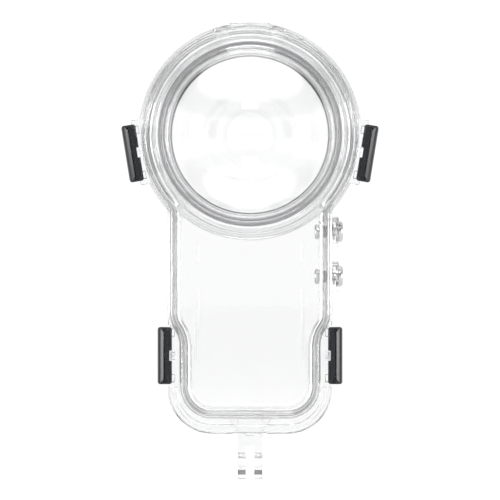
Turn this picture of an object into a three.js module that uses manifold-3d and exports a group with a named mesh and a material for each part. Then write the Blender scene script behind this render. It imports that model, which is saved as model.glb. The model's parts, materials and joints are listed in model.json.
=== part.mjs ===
// A clear, empty dive housing for a two-lens camera: two shells that meet at the plane y = 0,
// a dome on each, four snap latches, two push buttons and a two-finger mounting foot.
// Millimetres, +Z up, the front faces -Y. The origin is the centre of the foot's pivot hole.

import * as THREE from 'three';
import { mergeVertices } from 'three/addons/utils/BufferGeometryUtils.js';
import Module from 'manifold-3d';

const wasm = await Module();
wasm.setup();

// ---- driving dimensions ----

const GAP = 0.3; // between pieces that touch
const EPS = 0.15; // each shell stops this far from the parting plane
const OVER = 1; // how far a cutter runs past what it cuts
const ROOT = 0.5; // how far a raised detail is sunk into its wall
const NEAR_ZERO = 1e-6; // a shorter length is zero
const WELD = 1e-4; // vertices closer than this are one

const RING_Z = 119.5; // height of the dome ring's centre
const ARC_STEP = 9; // degrees between the points of a round outline
const SLAB_CURVE_STEPS = 10;
const RING_SIDES = 40; // sides of the large turned pieces
const DOME_SIDES = 32;
const BOSS_SIDES = 24;
const SMALL_SIDES = 16; // sides of the turned pieces of a button
const PIN_SIDES = 12;

const FLANGE = { ring: 41.2, upper: 30.2, lower: 30.2, bottom: 9.3, corner: 16.5, junction: 4.2 };
const FLANGE_DEPTH = 3.2;
const DRUM_RADIUS = 38.5;
const WALL = { ring: 39.7, upper: 29.4, lower: 25.65, bottom: 15.4, corner: 12, junction: 5.6 };
const WALL_THICKNESS = 2.65;
const SHOULDER = { top: 54, bottom: 42 }; // the wall steps in between these heights
const BODY_DEPTH = 16.5;
const CAVITY_DEPTH = 14;

const DOME = { outer: 32.8, inner: 31.2, centreDepth: 13.5, footRadius: 36.3, footNear: 16, footFar: 18.8 };
const APERTURE_RADIUS = 31.8;
const SEAT = { radius: 36.6, depth: 15.7 };
const DRUM_DEPTH = 19.1;
const RING = { inner: 34, depth: 20.6, chamfer: 0.5 }; // the ring that clamps a dome
const DOME_SEAL = { inner: 32.6, outer: 33.7, near: 19.1, far: 20.2 }; // it fills the gap inside that ring

const SEAL = { outerInset: 0.9, innerInset: 1.8, front: -0.6, rear: 1.2 };

// A latch is drawn by u, outwards from the flange's edge, and by y.
const LATCH = { length: 21, reach: 1.5, outer: 3.8, front: -5.3, back: 2.9, inner: 0.5, catchNotch: 3.7 };
const RIDGE = { u: 1.4, shoulder: 3.3, shoulderY: -3.9, groove: -4.8, lip: -5.2 };
const HIP = { length: 1.8, drop: 1.2 }; // the slope at each end of a latch's front
const LATCH_PIN = { u: 1.7, y: 5.6, radius: 0.9, length: 19.4, barrel: 2.1 };
const LATCH_BARREL_LENGTH = 13;
const NOTCH_DEPTH = 0.9;
const LUG = { inner: 6.9, outer: 9.9, root: 2.6, foot: 0.4, heel: 1.4 };
const PAD = { width: 4, overhang: 1.5 }; // the flange's straight pad behind an upper latch
const BAY = { depth: 0.7, clearance: 0.6 }; // the bay round a lower latch
const CATCH = { root: 2.6, front: 0.95, nose: 1.7, lip: -4.6, tip: -5, heel: -4.2 };
const LOWER_LATCH_Z = 38.2;
const UPPER_LATCH = { radius: 42.6, drop: 9.2 }; // drop: degrees below the dome centre

const BUTTON_Y = 9.2;
const BUTTONS = { upper: 83.7, lower: 67.2 };
const BOSS = { radius: 5.75, root: 27.5, face: 32.8, counterbore: 4.2, floor: 28.8, bore: 2.2 };
const PLUNGER = { cap: 3.8, capNear: 31.7, capFar: 34.3, shaft: 1.6, tip: 25.2, dish: 0.3 };
const SPRING = { turns: 2, radius: 3, wire: 0.22, stepsPerTurn: 14, wireSides: 4 };
const O_RING = { from: 27.1, to: 28.5, slack: 0.05 };
const CLIP = { outer: 2.6, from: 25.9, to: 26.4 };
const BUTTON_FOOT = { radius: 2.8, from: 23.9, to: 25.6, chamfer: 0.5 };

const FOOT = { radius: 7.3, hole: 2.5, finger: 3, gap: 3.1, slotTop: 4.9, blockTop: 9 };
const GUSSET = { reach: 4, low: 9.6, near: 2.8, far: 6.8 };
const TAB = { half: 7.5, low: 158.4, top: 160.4, front: 5.2 }; // the tab that opens the housing
const PRY = { half: 13.1, bottom: 154.7, depth: 1.7 }; // the finger notches beside the tab
const SLOT = { outer: 40.1, inner: 39, depth: 1.2, spans: [[51, 61], [63, 70], [110, 117], [119, 129]] };

const INSIDE_FACE = 12; // depth of the raised details on the rear shell's back wall
const RAIL = { inner: 19, outer: 20, spans: [[35.4, 62.6], [71.7, 80]] };
const CRADLE = { outer: 22.4, width: 1.8, bottom: 18.6, corner: 9, top: 37 };
const BEAD = { outer: 28.2, width: 1.6, bottom: 11.2, corner: 14.5, top: 26.6, height: 1.1 };
const CRADLE_CLIP = { inner: 20.6, outer: 22.7, bottom: 36.5, top: 42.8 };
const RIBS = { from: 212, to: 231, count: 7, inner: 37.4, outer: 43, thickness: 0.6, near: 11, far: 14.5 };

const radians = THREE.MathUtils.degToRad;

// ---- solids ----

function toSolid(geometry) {
  const bare = geometry.index ? geometry.toNonIndexed() : geometry.clone();
  bare.deleteAttribute('normal');
  bare.deleteAttribute('uv');
  const merged = mergeVertices(bare, WELD);
  return new wasm.Manifold(new wasm.Mesh({
    numProp: 3,
    vertProperties: new Float32Array(merged.attributes.position.array),
    triVerts: new Uint32Array(merged.index.array),
  }));
}

function toGeometry(solid) {
  const mesh = solid.getMesh();
  const geometry = new THREE.BufferGeometry();
  geometry.setAttribute('position', new THREE.BufferAttribute(new Float32Array(mesh.vertProperties), 3));
  geometry.setIndex(new THREE.BufferAttribute(new Uint32Array(mesh.triVerts), 1));
  geometry.computeVertexNormals();
  return geometry;
}

const join = (solids) => solids.reduce((sum, solid) => sum.add(solid));
const cut = (solid, tools) => tools.reduce((rest, tool) => rest.subtract(tool), solid);

// A shape drawn in X and Z, made solid between two values of Y.
function slab(shape, yFrom, yTo) {
  const geometry = new THREE.ExtrudeGeometry(shape, {
    depth: yTo - yFrom, bevelEnabled: false, curveSegments: SLAB_CURVE_STEPS,
  });
  geometry.rotateX(Math.PI / 2);
  geometry.translate(0, yTo, 0);
  return toSolid(geometry);
}

function box(low, high) {
  const size = high.map((value, i) => value - low[i]);
  const geometry = new THREE.BoxGeometry(...size);
  geometry.translate(...low.map((value, i) => value + size[i] / 2));
  return toSolid(geometry);
}

// A turned piece about an axis along +Y through (0, 0, z), from [radius, y] points.
function turnedY(profile, z, segments = RING_SIDES) {
  const geometry = new THREE.LatheGeometry(profile.map(([r, y]) => new THREE.Vector2(r, y)), segments);
  geometry.translate(0, 0, z);
  return fixWinding(geometry);
}

// A turned piece about an axis along +X through (0, y, z), from [radius, x] points.
function turnedX(profile, y, z, segments = SMALL_SIDES) {
  const geometry = new THREE.LatheGeometry(profile.map(([r, x]) => new THREE.Vector2(r, x)), segments);
  geometry.rotateZ(-Math.PI / 2);
  geometry.translate(0, y, z);
  return fixWinding(geometry);
}

// A lathe profile may run either way round: an inside-out result is turned the right way.
function fixWinding(geometry) {
  const position = geometry.attributes.position;
  const index = geometry.index;
  const corner = [0, 1, 2].map(() => new THREE.Vector3());
  let volume = 0;
  for (let i = 0; i < index.count; i += 3) {
    corner.forEach((v, k) => v.fromBufferAttribute(position, index.getX(i + k)));
    volume += corner[0].dot(corner[1].clone().cross(corner[2]));
  }
  if (volume < 0) {
    for (let i = 0; i < index.count; i += 3) {
      const first = index.getX(i);
      index.setX(i, index.getX(i + 2));
      index.setX(i + 2, first);
    }
  }
  return toSolid(geometry);
}

const closed = (profile) => [...profile, profile[0]];
const toShape = (points) => new THREE.Shape(points.map(([x, z]) => new THREE.Vector2(x, z)));

// ---- the keyhole outline: a round head on a straight body with round bottom corners ----

function arcPoints(centre, radius, from, to) {
  const steps = Math.max(2, Math.ceil(Math.abs(to - from) / ARC_STEP));
  return Array.from({ length: steps + 1 }, (_, i) => {
    const angle = radians(from + ((to - from) * i) / steps);
    return [centre[0] + radius * Math.cos(angle), centre[1] + radius * Math.sin(angle)];
  });
}

// Two equal arcs that lead the wall from the lower half-width out to the upper one.
function shoulderPoints(size, inset) {
  const stepIn = size.upper - size.lower;
  const rise = SHOULDER.top - SHOULDER.bottom;
  const turn = 2 * Math.atan2(stepIn, rise);
  const radius = rise / (2 * Math.sin(turn));
  const degrees = THREE.MathUtils.radToDeg(turn);
  const low = arcPoints([size.lower + radius, SHOULDER.bottom], radius + inset, 180, 180 - degrees);
  const high = arcPoints([size.upper - radius, SHOULDER.top], radius - inset, -degrees, 0);
  return [...low, ...high];
}

function keyhole(size, inset = 0) {
  const ring = size.ring - inset;
  const lower = size.lower - inset;
  const upper = size.upper - inset;
  const corner = size.corner - inset;
  const junction = size.junction + inset;
  const filletX = size.upper + size.junction;
  const filletZ = RING_Z - Math.sqrt((size.ring + size.junction) ** 2 - filletX ** 2);
  const toRing = THREE.MathUtils.radToDeg(Math.atan2(RING_Z - filletZ, -filletX));
  const right = [
    ...arcPoints([lower - corner, size.bottom + size.corner], corner, -90, 0),
    ...(size.upper > size.lower ? shoulderPoints(size, inset) : []),
    ...arcPoints([filletX, filletZ], junction, 180, toRing),
    ...arcPoints([0, RING_Z], ring, toRing - 180, 90).slice(1),
  ];
  const left = right.slice(0, -1).reverse().map(([x, z]) => [-x, z]);
  return toShape([...right, ...left]);
}

// ---- places of the four latches ----

const dropAngle = radians(UPPER_LATCH.drop);
const LATCHES = [-1, 1].flatMap((side) => {
  const name = side < 0 ? 'left' : 'right';
  return [
    { name: `upper_${name}`, side, tilt: side * dropAngle,
      x: side * UPPER_LATCH.radius * Math.cos(dropAngle),
      z: RING_Z - UPPER_LATCH.radius * Math.sin(dropAngle) },
    { name: `lower_${name}`, side, tilt: 0, x: side * FLANGE.lower, z: LOWER_LATCH_Z },
  ];
});

// A latch piece is drawn by u (outwards from the flange's edge) and y, with its length along Z.
function latchSlab(points, side, zFrom, zTo) {
  const shape = new THREE.Shape(points.map(([u, y]) => new THREE.Vector2(side * u, y)));
  const geometry = new THREE.ExtrudeGeometry(shape, { depth: zTo - zFrom, bevelEnabled: false });
  geometry.translate(0, 0, zFrom);
  return toSolid(geometry);
}

function latchRod(radius, zFrom, zTo, side, segments) {
  const geometry = new THREE.CylinderGeometry(radius, radius, zTo - zFrom, segments);
  geometry.rotateX(Math.PI / 2);
  geometry.translate(side * LATCH_PIN.u, LATCH_PIN.y, (zFrom + zTo) / 2);
  return toSolid(geometry);
}

const inPlace = (solid, latch) => solid
  .rotate([0, THREE.MathUtils.radToDeg(latch.tilt), 0])
  .translate([latch.x, 0, latch.z]);

const bothEnds = (make) => join([-1, 1].map(make));
const span = (side, near, far) => (side < 0 ? [-far, -near] : [near, far]);

// The slope at one end of a latch's front, cut right across it.
function latchHip(end) {
  const half = LATCH.length / 2;
  const start = half - HIP.length;
  const fall = (HIP.drop / HIP.length) * (HIP.length + OVER);
  const points = [[start, LATCH.front], [half + OVER, LATCH.front + fall], [half + OVER, LATCH.front - OVER],
    [start, LATCH.front - OVER]];
  const shape = new THREE.Shape(points.map(([z, y]) => new THREE.Vector2(-end * z, y)));
  const width = 2 * (LATCH.outer + OVER);
  const geometry = new THREE.ExtrudeGeometry(shape, { depth: width, bevelEnabled: false });
  geometry.rotateY(Math.PI / 2);
  geometry.translate(-width / 2, 0, 0);
  return toSolid(geometry);
}

function latchBody({ side }) {
  const half = LATCH.length / 2;
  const barrelHalf = LATCH_BARREL_LENGTH / 2;
  const tip = -LATCH.reach;
  const under = -FLANGE_DEPTH - GAP;
  const { u, shoulder, shoulderY, groove, lip } = RIDGE;
  const bar = [
    [tip, under], [tip, groove], [tip + GAP, lip], [tip + 2 * GAP, lip], [tip + 3 * GAP, groove],
    [u - GAP, groove], [u, LATCH.front], [shoulder, shoulderY], [LATCH.outer, shoulderY + ROOT],
    [LATCH.outer, LATCH.back], [LATCH.inner, LATCH.back], [LATCH.inner, under],
  ];
  const neckFrom = LATCH.back - ROOT;
  const neck = [
    [LATCH.inner, neckFrom], [LATCH.outer, neckFrom], [LATCH.outer, LATCH_PIN.y], [LATCH.inner, LATCH_PIN.y],
  ];
  const notchHalf = LATCH.catchNotch / 2;
  const notch = [
    [tip - OVER, LATCH.front - OVER], [tip + NOTCH_DEPTH, LATCH.front - OVER],
    [tip + NOTCH_DEPTH, under + OVER], [tip - OVER, under + OVER],
  ];
  return cut(
    join([
      latchSlab(bar, side, -half, half),
      latchSlab(neck, side, -barrelHalf, barrelHalf),
      latchRod(LATCH_PIN.barrel, -barrelHalf, barrelHalf, side, SMALL_SIDES),
    ]),
    [
      latchRod(LATCH_PIN.radius + GAP, -half, half, side, PIN_SIDES),
      latchSlab(notch, side, -notchHalf, notchHalf),
      bothEnds(latchHip),
    ],
  );
}

const latchPin = ({ side }) => latchRod(
  LATCH_PIN.radius, -LATCH_PIN.length / 2, LATCH_PIN.length / 2, side, PIN_SIDES);

// The rear flange's two lugs that hold a latch's pin.
function latchLugs({ side }) {
  const foot = FLANGE_DEPTH - LUG.foot;
  const web = [
    [-LUG.root, foot], [-GAP, foot], [LATCH_PIN.u + LUG.foot, LATCH_PIN.y - LATCH_PIN.barrel],
    [LATCH_PIN.u, LATCH_PIN.y + LATCH_PIN.barrel], [-LUG.root, FLANGE_DEPTH + LUG.heel],
  ];
  return bothEnds((end) => latchSlab(web, side, ...span(end, LUG.inner, LUG.outer))
    .add(latchRod(LATCH_PIN.barrel, ...span(end, LUG.inner, LUG.outer), side, SMALL_SIDES)));
}

const latchLugHoles = ({ side }) => latchRod(
  LATCH_PIN.radius + GAP, -LUG.outer - OVER, LUG.outer + OVER, side, PIN_SIDES);

// The flange's straight pad behind an upper latch.
function latchPad({ side }, yFrom, yTo) {
  const half = LATCH.length / 2 + PAD.overhang;
  return latchSlab([[-PAD.width, yFrom], [0, yFrom], [0, yTo], [-PAD.width, yTo]], side, -half, half);
}

// The bay in the flange's edge that a lower latch sits in.
function latchBay({ side }) {
  const half = LATCH.length / 2 + BAY.clearance;
  const depth = FLANGE_DEPTH + OVER;
  const section = [[-BAY.depth, -depth], [OVER, -depth], [OVER, depth], [-BAY.depth, depth]];
  return latchSlab(section, side, -half, half);
}

// The front flange's small catch, which stands in the latch's notch.
function latchCatch({ side }) {
  const half = LATCH.catchNotch / 2 - GAP;
  const foot = LUG.foot - FLANGE_DEPTH;
  const profile = [
    [-CATCH.root, foot], [-CATCH.front, foot], [-CATCH.front, CATCH.lip], [-CATCH.nose, CATCH.tip],
    [-CATCH.root, CATCH.heel],
  ];
  return latchSlab(profile, side, -half, half);
}

// ---- the two shells: facing is -1 for the front one and 1 for the rear one ----

// Short ribs that stiffen the corners where the head meets the body.
function cornerRibs(facing) {
  const { from, to, count, inner, outer, thickness, near, far } = RIBS;
  const ribs = [-1, 1].flatMap((side) => Array.from({ length: count }, (_, i) => {
    const turn = from + ((to - from) * i) / (count - 1);
    const rib = slab(toShape([
      [inner, -thickness / 2], [outer, -thickness / 2], [outer, thickness / 2], [inner, thickness / 2],
    ]), ...span(facing, near, far));
    return rib.rotate([0, side < 0 ? -turn : turn - 180, 0]).translate([0, 0, RING_Z]);
  }));
  return join(ribs).intersect(slab(keyhole(WALL, ROOT), ...span(facing, 0, BODY_DEPTH)));
}

function shell(facing) {
  const layer = (shape, near, far) => slab(shape, ...span(facing, near, far));
  const disc = (radius, near, far) => turnedY(
    [[0, facing * near], [radius, facing * near], [radius, facing * far], [0, facing * far]], RING_Z);
  const uppers = LATCHES.filter((latch) => latch.tilt !== 0);
  const lowers = LATCHES.filter((latch) => latch.tilt === 0);
  const outside = join([
    layer(keyhole(FLANGE), EPS, FLANGE_DEPTH),
    layer(keyhole(WALL), EPS, BODY_DEPTH),
    disc(DRUM_RADIUS, EPS, DRUM_DEPTH),
    ...uppers.map((latch) => inPlace(latchPad(latch, ...span(facing, EPS, FLANGE_DEPTH)), latch)),
    uRail(BEAD, ...span(facing, FLANGE_DEPTH - ROOT, FLANGE_DEPTH + BEAD.height)),
  ]);
  const sealDepth = facing < 0 ? -SEAL.front : SEAL.rear;
  const groove = layer(keyhole(WALL, SEAL.outerInset - GAP), 0, sealDepth + GAP)
    .subtract(layer(keyhole(WALL, SEAL.innerInset + GAP), -OVER, sealDepth + OVER));
  return cut(outside, [
    layer(keyhole(WALL, WALL_THICKNESS), 0, CAVITY_DEPTH),
    disc(APERTURE_RADIUS, 0, DRUM_DEPTH + OVER),
    disc(SEAT.radius, SEAT.depth, DRUM_DEPTH + OVER),
    groove,
    ...lowers.map((latch) => inPlace(latchBay(latch), latch)),
  ]).add(cornerRibs(facing));
}

// Arc slots in the flange's face, either side of the opening tab.
function flangeSlots() {
  const centre = [0, RING_Z];
  return SLOT.spans.map(([from, to]) => slab(
    toShape([...arcPoints(centre, SLOT.outer, from, to), ...arcPoints(centre, SLOT.inner, to, from)]),
    -FLANGE_DEPTH - OVER, -FLANGE_DEPTH + SLOT.depth));
}

function frontShell() {
  const pryNotches = [-1, 1].map((side) => {
    const [from, to] = span(side, TAB.half, PRY.half);
    return box([from, -FLANGE_DEPTH - OVER, PRY.bottom], [to, -PRY.depth, RING_Z + FLANGE.ring + OVER]);
  });
  return cut(shell(-1), [...pryNotches, ...flangeSlots()])
    .add(box([-TAB.half, -TAB.front, TAB.low], [TAB.half, -OVER, TAB.top]))
    .add(join(LATCHES.map((latch) => inPlace(latchCatch(latch), latch))));
}

// The rails, the cradle and its clips that locate the camera against the rear shell's back wall.
function cameraRails() {
  const far = CAVITY_DEPTH + ROOT;
  return [-1, 1].flatMap((side) => {
    const rails = RAIL.spans.map(([low, top]) => {
      const [x0, x1] = span(side, RAIL.inner, RAIL.outer);
      return box([x0, INSIDE_FACE, low], [x1, far, top]);
    });
    const [c0, c1] = span(side, CRADLE_CLIP.inner, CRADLE_CLIP.outer);
    return [...rails, box([c0, INSIDE_FACE, CRADLE_CLIP.bottom], [c1, far, CRADLE_CLIP.top])];
  });
}

// A rail that runs down one side, round the bottom corners and up the other side.
function uRail({ outer, width, bottom, corner, top }, yFrom, yTo) {
  const cup = (inset) => {
    const centre = [outer - corner, bottom + corner];
    const right = arcPoints(centre, corner - inset, -90, 0);
    const left = right.slice().reverse().map(([x, z]) => [-x, z]);
    const rim = top + (inset > 0 ? OVER : 0);
    return toShape([...right, [outer - inset, rim], [inset - outer, rim], ...left]);
  };
  return slab(cup(0), yFrom, yTo).subtract(slab(cup(width), yFrom - OVER, yTo + OVER));
}

// The low rim that holds the camera's lower end.
const cradle = () => uRail(CRADLE, INSIDE_FACE, CAVITY_DEPTH + ROOT);

// The two-finger foot: a block under the body, cut into two ears with one pivot hole.
function foot() {
  const halfWidth = FOOT.gap / 2 + FOOT.finger;
  const ear = new THREE.Shape();
  ear.moveTo(-FOOT.radius, 0);
  ear.absarc(0, 0, FOOT.radius, Math.PI, 2 * Math.PI, false);
  ear.lineTo(FOOT.radius, FOOT.blockTop);
  ear.lineTo(-FOOT.radius, FOOT.blockTop);
  const ears = new THREE.ExtrudeGeometry(ear, {
    depth: 2 * halfWidth, bevelEnabled: false, curveSegments: PIN_SIDES,
  });
  ears.rotateX(Math.PI / 2);
  ears.rotateZ(Math.PI / 2);
  ears.translate(-halfWidth, 0, 0);
  const root = box([-halfWidth, EPS, FOOT.blockTop - ROOT], [halfWidth, FOOT.radius, WALL.bottom + ROOT]);
  const gussets = [-1, 1].map((side) => slab(toShape([
    [side * (halfWidth - ROOT), GUSSET.low], [side * (halfWidth + GUSSET.reach), WALL.bottom + ROOT],
    [side * (halfWidth - ROOT), WALL.bottom + ROOT],
  ]), GUSSET.near, GUSSET.far));
  const reach = FOOT.radius + OVER;
  const slot = box([-FOOT.gap / 2, -reach, -reach], [FOOT.gap / 2, reach, FOOT.slotTop]);
  const hole = turnedX([[0, -reach], [FOOT.hole, -reach], [FOOT.hole, reach], [0, reach]], 0, 0, BOSS_SIDES);
  return cut(join([toSolid(ears), root, ...gussets]), [slot, hole]);
}

function buttonBoss(z) {
  const { radius, root, face } = BOSS;
  return turnedX([[0, root], [radius, root], [radius, face], [0, face]], BUTTON_Y, z, BOSS_SIDES);
}

function buttonBore(z) {
  const { bore, counterbore, floor, face } = BOSS;
  const from = PLUNGER.tip - OVER;
  const to = face + OVER;
  return turnedX([[0, from], [bore, from], [bore, floor], [counterbore, floor], [counterbore, to], [0, to]],
    BUTTON_Y, z);
}

function rearShell() {
  const places = Object.values(BUTTONS);
  const body = join([
    shell(1),
    ...cameraRails(),
    cradle(),
    ...places.map(buttonBoss),
    ...LATCHES.map((latch) => inPlace(latchLugs(latch), latch)),
    foot(),
    box([-TAB.half, OVER, TAB.low], [TAB.half, FLANGE_DEPTH, TAB.top]),
  ]);
  const pinHoles = LATCHES.map((latch) => inPlace(latchLugHoles(latch), latch));
  return cut(body, [...places.map(buttonBore), ...pinHoles]);
}

// ---- domes with their clamp rings and seals ----

function dome(facing) {
  const { outer, inner, centreDepth, footRadius, footNear, footFar } = DOME;
  const reach = (radius, depth) => THREE.MathUtils.radToDeg(Math.asin((depth - centreDepth) / radius));
  const skin = (radius, fromDepth) => arcPoints([0, centreDepth], radius, reach(radius, fromDepth), 90);
  const profile = [
    ...skin(inner, footNear), ...skin(outer, footFar).reverse(),
    [footRadius, footFar], [footRadius, footNear],
  ].map(([r, depth]) => [r < NEAR_ZERO ? 0 : r, facing * depth]);
  const apex = skin(inner, footNear).length - 1;
  const ordered = [...profile.slice(apex + 1), ...profile.slice(0, apex + 1)];
  return turnedY(ordered, RING_Z, DOME_SIDES);
}

function domeRing(facing) {
  const { inner, depth, chamfer } = RING;
  const seatEdge = SEAT.radius - GAP;
  const profile = [
    [inner, DRUM_DEPTH], [seatEdge, DRUM_DEPTH], [seatEdge, DRUM_DEPTH + GAP],
    [DRUM_RADIUS, DRUM_DEPTH + GAP], [DRUM_RADIUS, depth - chamfer], [DRUM_RADIUS - chamfer, depth],
    [inner + chamfer, depth], [inner, depth - chamfer],
  ].map(([r, y]) => [r, facing * y]);
  return turnedY(closed(profile), RING_Z);
}

function domeSeal(facing) {
  const { inner, outer, near, far } = DOME_SEAL;
  return turnedY(closed([[inner, near], [outer, near], [outer, far], [inner, far]]
    .map(([r, depth]) => [r, facing * depth])), RING_Z);
}

// The seal that runs round the keyhole between the two shells.
function mainSeal() {
  return slab(keyhole(WALL, SEAL.outerInset), SEAL.front, SEAL.rear)
    .subtract(slab(keyhole(WALL, SEAL.innerInset), SEAL.front - OVER, SEAL.rear + OVER));
}

// ---- one push button: all its pieces share the axis along X at y = BUTTON_Y ----

function plunger(z) {
  const { cap, capNear, capFar, shaft, tip, dish } = PLUNGER;
  return turnedX([
    [0, tip], [shaft, tip], [shaft, capNear], [cap, capNear],
    [cap, capFar - 2 * dish], [cap - 2 * dish, capFar], [cap / 2 + dish, capFar],
    [cap / 2, capFar - dish], [0, capFar - dish],
  ], BUTTON_Y, z);
}

function buttonSpring(z) {
  const { turns, radius, wire, stepsPerTurn, wireSides } = SPRING;
  const from = BOSS.floor + GAP + wire;
  const to = PLUNGER.capNear - GAP - wire;
  class Helix extends THREE.Curve {
    getPoint(t, target = new THREE.Vector3()) {
      const angle = 2 * Math.PI * turns * t;
      const along = from + (to - from) * t;
      return target.set(along, BUTTON_Y + radius * Math.cos(angle), z + radius * Math.sin(angle));
    }
  }
  const section = new THREE.Shape();
  section.absarc(0, 0, wire, 0, 2 * Math.PI, false);
  return toSolid(new THREE.ExtrudeGeometry(section, {
    steps: turns * stepsPerTurn, curveSegments: wireSides, bevelEnabled: false, extrudePath: new Helix(),
  }));
}

const ringAlongX = (z, inner, outer, from, to) => turnedX(
  closed([[inner, from], [outer, from], [outer, to], [inner, to]]), BUTTON_Y, z);

const oRing = (z) => ringAlongX(
  z, PLUNGER.shaft + O_RING.slack, BOSS.bore - O_RING.slack, O_RING.from, O_RING.to);
const retainingClip = (z) => ringAlongX(z, PLUNGER.shaft + O_RING.slack, CLIP.outer, CLIP.from, CLIP.to);

// The disc at the plunger's inner end, which presses the camera's own button.
function buttonFoot(z) {
  const { radius, from, to, chamfer } = BUTTON_FOOT;
  const socket = PLUNGER.shaft + GAP;
  return turnedX([
    [0, from], [radius - chamfer, from], [radius, from + chamfer], [radius, to], [socket, to],
    [socket, PLUNGER.tip - GAP], [0, PLUNGER.tip - GAP],
  ], BUTTON_Y, z);
}

// ---- the assembly ----

const finishes = {
  clear: { color: 0xe8eef2, roughness: 0.05, metalness: 0, transparent: true, opacity: 0.35 },
  silicone: { color: 0xdfe3e6, roughness: 0.5, metalness: 0 },
  greySilicone: { color: 0x8b8c8e, roughness: 0.5, metalness: 0 },
  black: { color: 0x202225, roughness: 0.25, metalness: 0 },
  steel: { color: 0xb9bcc0, roughness: 0.25, metalness: 1 },
  rubber: { color: 0x2a2c2e, roughness: 0.7, metalness: 0 },
};

const group = new THREE.Group();

function add(name, solid, finish) {
  const mesh = new THREE.Mesh(toGeometry(solid), new THREE.MeshStandardMaterial(finishes[finish]));
  mesh.name = name;
  group.add(mesh);
  return mesh;
}

add('rear_shell', rearShell(), 'clear');
add('front_shell', frontShell(), 'clear');
add('main_seal', mainSeal(), 'silicone');

for (const [name, facing] of [['front', -1], ['rear', 1]]) {
  add(`${name}_dome`, dome(facing), 'clear');
  add(`${name}_dome_ring`, domeRing(facing), 'clear');
  add(`${name}_dome_seal`, domeSeal(facing), 'greySilicone');
}

for (const latch of LATCHES) {
  const pieces = [
    add(`latch_${latch.name}`, latchBody(latch), 'black'),
    add(`latch_pin_${latch.name}`, latchPin(latch), 'steel'),
  ];
  for (const piece of pieces) {
    piece.position.set(latch.x, 0, latch.z);
    piece.rotation.y = latch.tilt;
  }
}

for (const [name, z] of Object.entries(BUTTONS)) {
  add(`button_plunger_${name}`, plunger(z), 'steel');
  add(`button_spring_${name}`, buttonSpring(z), 'steel');
  add(`button_o_ring_${name}`, oRing(z), 'rubber');
  add(`button_clip_${name}`, retainingClip(z), 'steel');
  add(`button_foot_${name}`, buttonFoot(z), 'steel');
}

export default group;
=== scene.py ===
"""Looks of the clear dive housing: smooth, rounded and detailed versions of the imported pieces, their
materials, a pale studio and the camera. Sizes below are in millimetres and become metres in finished()."""
import json
import math

import bmesh
import bpy
from mathutils import Matrix, Vector

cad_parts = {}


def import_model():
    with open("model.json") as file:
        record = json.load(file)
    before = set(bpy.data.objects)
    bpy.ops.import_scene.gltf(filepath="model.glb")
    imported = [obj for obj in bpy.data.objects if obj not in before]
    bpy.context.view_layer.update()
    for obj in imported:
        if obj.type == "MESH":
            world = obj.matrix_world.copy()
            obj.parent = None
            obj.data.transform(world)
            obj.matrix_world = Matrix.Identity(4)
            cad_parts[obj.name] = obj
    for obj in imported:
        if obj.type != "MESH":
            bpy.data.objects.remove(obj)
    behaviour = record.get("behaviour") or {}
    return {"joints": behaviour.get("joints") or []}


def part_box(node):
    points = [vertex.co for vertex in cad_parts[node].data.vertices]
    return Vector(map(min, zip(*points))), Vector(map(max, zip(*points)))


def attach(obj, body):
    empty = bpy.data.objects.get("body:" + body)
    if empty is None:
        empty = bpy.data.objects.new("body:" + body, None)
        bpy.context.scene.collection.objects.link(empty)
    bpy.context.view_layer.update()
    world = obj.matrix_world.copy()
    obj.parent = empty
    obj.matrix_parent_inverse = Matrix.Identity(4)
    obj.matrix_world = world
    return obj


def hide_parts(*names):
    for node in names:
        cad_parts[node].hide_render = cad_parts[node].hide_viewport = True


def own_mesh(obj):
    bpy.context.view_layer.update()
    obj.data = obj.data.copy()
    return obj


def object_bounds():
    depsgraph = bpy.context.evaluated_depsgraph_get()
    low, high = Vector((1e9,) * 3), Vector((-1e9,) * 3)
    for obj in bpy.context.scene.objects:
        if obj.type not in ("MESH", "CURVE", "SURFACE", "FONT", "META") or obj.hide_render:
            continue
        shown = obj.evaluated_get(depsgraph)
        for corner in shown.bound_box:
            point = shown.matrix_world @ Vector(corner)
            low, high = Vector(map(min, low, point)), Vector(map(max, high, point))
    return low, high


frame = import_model()
cad_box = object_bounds()
MM = 0.001


def box_mm(node):
    low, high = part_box(node)
    return low / MM, high / MM


# ---- driving sizes, from the frame where it holds them ----

ring_low, ring_high = box_mm("front_dome_ring")
RING_Z = (ring_low.z + ring_high.z) / 2
DRUM_RADIUS = (ring_high.x - ring_low.x) / 2
RING_DEPTH = -ring_low.y
PART_GAP = 0.3  # between pieces that touch
FACE_GAP = 0.15  # each shell stops this far from the parting plane
OVER = 1  # how far a cutter runs past what it cuts
SUNK = 0.5  # how far a raised detail is sunk into its wall
EDGE = 0.3  # bevel of a small moulded edge
NEAR_ZERO = 1e-6  # a shorter radius is zero

FLANGE_DEPTH = 3.2
BODY_DEPTH = 16.5
CAVITY_DEPTH = 14.0
WALL_THICKNESS = 2.65
DRUM_DEPTH = RING_DEPTH - 1.5
SEAT_RADIUS, SEAT_DEPTH = 36.6, 15.7
APERTURE_RADIUS = 31.8
DOME_OUTER, DOME_INNER, DOME_CENTRE_DEPTH = 32.8, 31.2, 13.5
DOME_FOOT_RADIUS, DOME_FOOT_NEAR, DOME_FOOT_FAR = 36.3, 16.0, 18.8
DOME_RING_INNER = 34.0
DOME_SEAL_INNER, DOME_SEAL_OUTER, DOME_SEAL_NEAR, DOME_SEAL_FAR = 32.6, 33.7, 19.1, 20.2

# the main seal and its groove: insets from the wall's outline, depths from the parting plane
SEAL_OUTER, SEAL_INNER, SEAL_FRONT, SEAL_REAR, SEAL_ROUND = 0.9, 1.8, -0.6, 1.2, 0.2
GROOVE_OUTER, GROOVE_INNER, GROOVE_ROUND, FRONT_GROOVE, REAR_GROOVE = 0.6, 2.1, 0.1, 0.9, 1.5

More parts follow.
